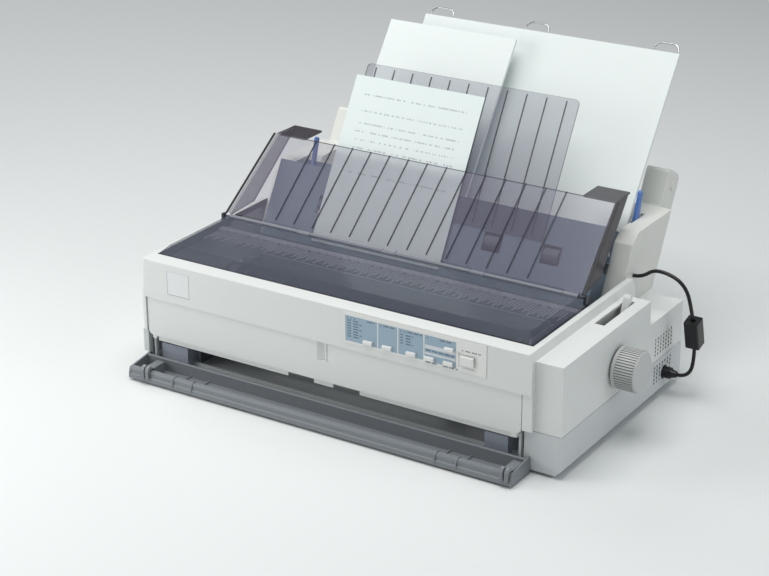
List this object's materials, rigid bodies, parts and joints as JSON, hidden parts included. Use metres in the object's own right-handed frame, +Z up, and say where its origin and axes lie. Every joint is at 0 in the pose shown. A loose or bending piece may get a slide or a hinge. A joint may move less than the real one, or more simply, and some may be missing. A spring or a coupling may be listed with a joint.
{
  "type": "dot matrix printer",
  "caption": "Wide-carriage dot matrix printer with smoked covers, front tray and a mounted cut-sheet feeder holding paper.",
  "frame": {"origin": "centre of the footprint of the whole printer, without its free cable, on the floor under the feet", "axes": "+X runs along the printer's width to the platen knob, the front with the door faces -Y, +Z is up"},
  "size_m": [0.6545, 0.5142, 0.4014],
  "materials": {
    "case_plastic": "satin",
    "lower_case_plastic": "satin",
    "feeder_plastic": "satin",
    "smoked_cover": "gloss",
    "label_panel": "satin",
    "key_plastic": "satin",
    "tray_plastic": "satin",
    "guide_plastic": "satin",
    "dark_plastic": "satin",
    "blue_plastic": "satin",
    "knob_plastic": "satin",
    "white_plastic": "satin",
    "rubber": "matte",
    "roller_rubber": "matte",
    "cable_sheath": "satin",
    "steel": "satin",
    "frame_steel": "satin",
    "brass": "satin",
    "aluminium": "satin",
    "board": "satin",
    "paper": "matte",
    "ferrite": "satin"
  },
  "bodies": {
    "printer": {"lower_case": "lower_case_plastic", "upper_case": "case_plastic", "control_panel": "label_panel", "rubber_feet": "rubber", "side_frames": "frame_steel", "carriage_rods": "steel", "shaft_bearings": "brass", "main_board": "board", "power_supply": "frame_steel", "motors": "steel", "sockets": "dark_plastic", "ribbon_cartridge": "dark_plastic", "paper_guides": "guide_plastic", "comb_bar": "guide_plastic", "paper_tray": "tray_plastic", "feeder_housing_left": "feeder_plastic", "feeder_housing_right": "feeder_plastic", "feeder_cross_frame": "dark_plastic", "bin_plates": "feeder_plastic", "wire_supports": "steel", "stacker": "smoked_cover", "rear_bin_sheets": "paper", "front_bin_sheets": "paper", "printed_sheet": "paper", "feeder_cable": "cable_sheath", "ferrite_block": "ferrite", "cable_plug": "cable_sheath", "hinge_pins": "dark_plastic", "carriage_belt": "rubber"},
    "window_cover": {"front_window": "smoked_cover"},
    "flap_cover": {"rear_flap": "smoked_cover"},
    "door": {"front_door": "case_plastic"},
    "platen": {"platen_roller": "roller_rubber", "platen_shaft": "steel", "platen_knob": "knob_plastic"},
    "feed_idler": {"feed_idler_gear": "white_plastic"},
    "feed_pinion": {"motor_pinion": "brass"},
    "tractor_drive": {"tractor_shaft": "steel"},
    "tractor_unit_left": {"tractor_left": "dark_plastic"},
    "tractor_unit_right": {"tractor_right": "dark_plastic"},
    "head_carriage": {"carriage": "dark_plastic", "print_head": "aluminium"},
    "belt_drive": {"drive_pulley": "white_plastic"},
    "belt_idler": {"idler_pulley": "white_plastic"},
    "release_lever": {"paper_release_lever": "case_plastic"},
    "bin_feed_front": {"feed_shaft_front": "steel"},
    "bin_feed_rear": {"feed_shaft_rear": "steel"},
    "eject": {"eject_shaft": "steel"},
    "bin_lever_a": {"bin_lever_left": "blue_plastic"},
    "bin_lever_b": {"bin_lever_right": "blue_plastic"},
    "tray_stop_a": {"tray_guide_left": "tray_plastic"},
    "tray_stop_b": {"tray_guide_right": "tray_plastic"},
    "select_button": {"select_key": "key_plastic"},
    "pitch_button": {"pitch_key": "key_plastic"},
    "tear_off_button": {"tear_off_key": "key_plastic"},
    "feed_button": {"feed_key": "key_plastic"},
    "load_button": {"load_key": "key_plastic"},
    "pause_button": {"pause_key": "key_plastic"},
    "power_button": {"power_key": "key_plastic"}
  },
  "joints": [
    {"name": "window_hinge", "type": "hinge", "parent": "printer", "child": "window_cover", "pos_m": [-0.0345, -0.05361, 0.1652], "axis": [-1, 0, 0], "range_deg": [0, 70]},
    {"name": "flap_hinge", "type": "hinge", "parent": "printer", "child": "flap_cover", "pos_m": [-0.0345, -0.05361, 0.1652], "axis": [1, 0, 0], "range_deg": [-2, 30]},
    {"name": "door_hinge", "type": "hinge", "parent": "printer", "child": "door", "pos_m": [-0.037, -0.20711, 0.048], "axis": [1, 0, 0], "range_deg": [0, 85]},
    {"name": "platen_turn", "type": "hinge", "parent": "printer", "child": "platen", "pos_m": [-0.022, -0.06591, 0.0926], "axis": [1, 0, 0], "continuous": true},
    {"name": "idler_turn", "type": "hinge", "parent": "printer", "child": "feed_idler", "pos_m": [-0.265, -0.10928, 0.06302], "axis": [1, 0, 0], "continuous": true},
    {"name": "pinion_turn", "type": "hinge", "parent": "printer", "child": "feed_pinion", "pos_m": [-0.265, -0.04178, 0.07235], "axis": [1, 0, 0], "continuous": true},
    {"name": "tractor_drive_turn", "type": "hinge", "parent": "printer", "child": "tractor_drive", "pos_m": [-0.022, -0.14646, 0.03766], "axis": [1, 0, 0], "continuous": true},
    {"name": "tractor_left_slide", "type": "slide", "parent": "printer", "child": "tractor_unit_left", "axis": [1, 0, 0], "range_m": [0, 0.15]},
    {"name": "tractor_right_slide", "type": "slide", "parent": "printer", "child": "tractor_unit_right", "axis": [1, 0, 0], "range_m": [-0.15, 0]},
    {"name": "carriage_slide", "type": "slide", "parent": "printer", "child": "head_carriage", "axis": [1, 0, 0], "range_m": [0, 0.32]},
    {"name": "belt_drive_turn", "type": "hinge", "parent": "printer", "child": "belt_drive", "pos_m": [0.208, -0.14811, 0.061], "axis": [0, 0, 1], "continuous": true},
    {"name": "belt_idler_turn", "type": "hinge", "parent": "printer", "child": "belt_idler", "pos_m": [-0.246, -0.14811, 0.061], "axis": [0, 0, 1], "continuous": true},
    {"name": "release_lever_turn", "type": "hinge", "parent": "printer", "child": "release_lever", "pos_m": [0.267, -0.03311, 0.06], "axis": [1, 0, 0], "range_deg": [0, 38]},
    {"name": "bin_feed_rear_turn", "type": "hinge", "parent": "printer", "child": "bin_feed_rear", "pos_m": [-0.022, 0.07694, 0.17747], "axis": [1, 0, 0], "continuous": true},
    {"name": "bin_feed_front_turn", "type": "hinge", "parent": "printer", "child": "bin_feed_front", "pos_m": [-0.022, 0.04882, 0.18284], "axis": [1, 0, 0], "continuous": true},
    {"name": "eject_turn", "type": "hinge", "parent": "printer", "child": "eject", "pos_m": [-0.022, 0.02803, 0.17355], "axis": [1, 0, 0], "continuous": true},
    {"name": "bin_lever_left_turn", "type": "hinge", "parent": "printer", "child": "bin_lever_a", "pos_m": [-0.2648, 0.08619, 0.1795], "axis": [1, 0, 0], "range_deg": [-2, 20]},
    {"name": "bin_lever_right_turn", "type": "hinge", "parent": "printer", "child": "bin_lever_b", "pos_m": [0.2138, 0.11839, 0.19], "axis": [1, 0, 0], "range_deg": [-8, 25]},
    {"name": "tray_guide_left_slide", "type": "slide", "parent": "printer", "child": "tray_stop_a", "axis": [1, 0, 0], "range_m": [0, 0.028]},
    {"name": "tray_guide_right_slide", "type": "slide", "parent": "printer", "child": "tray_stop_b", "axis": [1, 0, 0], "range_m": [-0.05, 0]},
    {"name": "select_key_press", "type": "slide", "parent": "printer", "child": "select_button", "axis": [0, 1, 0], "range_m": [0, 0.001], "stiffness_N_per_m": 300},
    {"name": "pitch_key_press", "type": "slide", "parent": "printer", "child": "pitch_button", "axis": [0, 1, 0], "range_m": [0, 0.001], "stiffness_N_per_m": 300},
    {"name": "tear_off_key_press", "type": "slide", "parent": "printer", "child": "tear_off_button", "axis": [0, 1, 0], "range_m": [0, 0.001], "stiffness_N_per_m": 300},
    {"name": "feed_key_press", "type": "slide", "parent": "printer", "child": "feed_button", "axis": [0, 1, 0], "range_m": [0, 0.001], "stiffness_N_per_m": 300},
    {"name": "load_key_press", "type": "slide", "parent": "printer", "child": "load_button", "axis": [0, 1, 0], "range_m": [0, 0.001], "stiffness_N_per_m": 300},
    {"name": "pause_key_press", "type": "slide", "parent": "printer", "child": "pause_button", "axis": [0, 1, 0], "range_m": [0, 0.001], "stiffness_N_per_m": 300},
    {"name": "power_key_press", "type": "slide", "parent": "printer", "child": "power_button", "axis": [0, 1, 0], "range_m": [0, 0.001], "stiffness_N_per_m": 300}
  ],
  "couplings": [
    {"joint": "idler_turn", "follows": "platen_turn", "ratio": -0.75},
    {"joint": "tractor_drive_turn", "follows": "platen_turn", "ratio": 1.5},
    {"joint": "pinion_turn", "follows": "platen_turn", "ratio": -2.5},
    {"joint": "belt_drive_turn", "follows": "carriage_slide", "rad_per_m": -116.28},
    {"joint": "belt_idler_turn", "follows": "carriage_slide", "rad_per_m": -116.28}
  ]
}
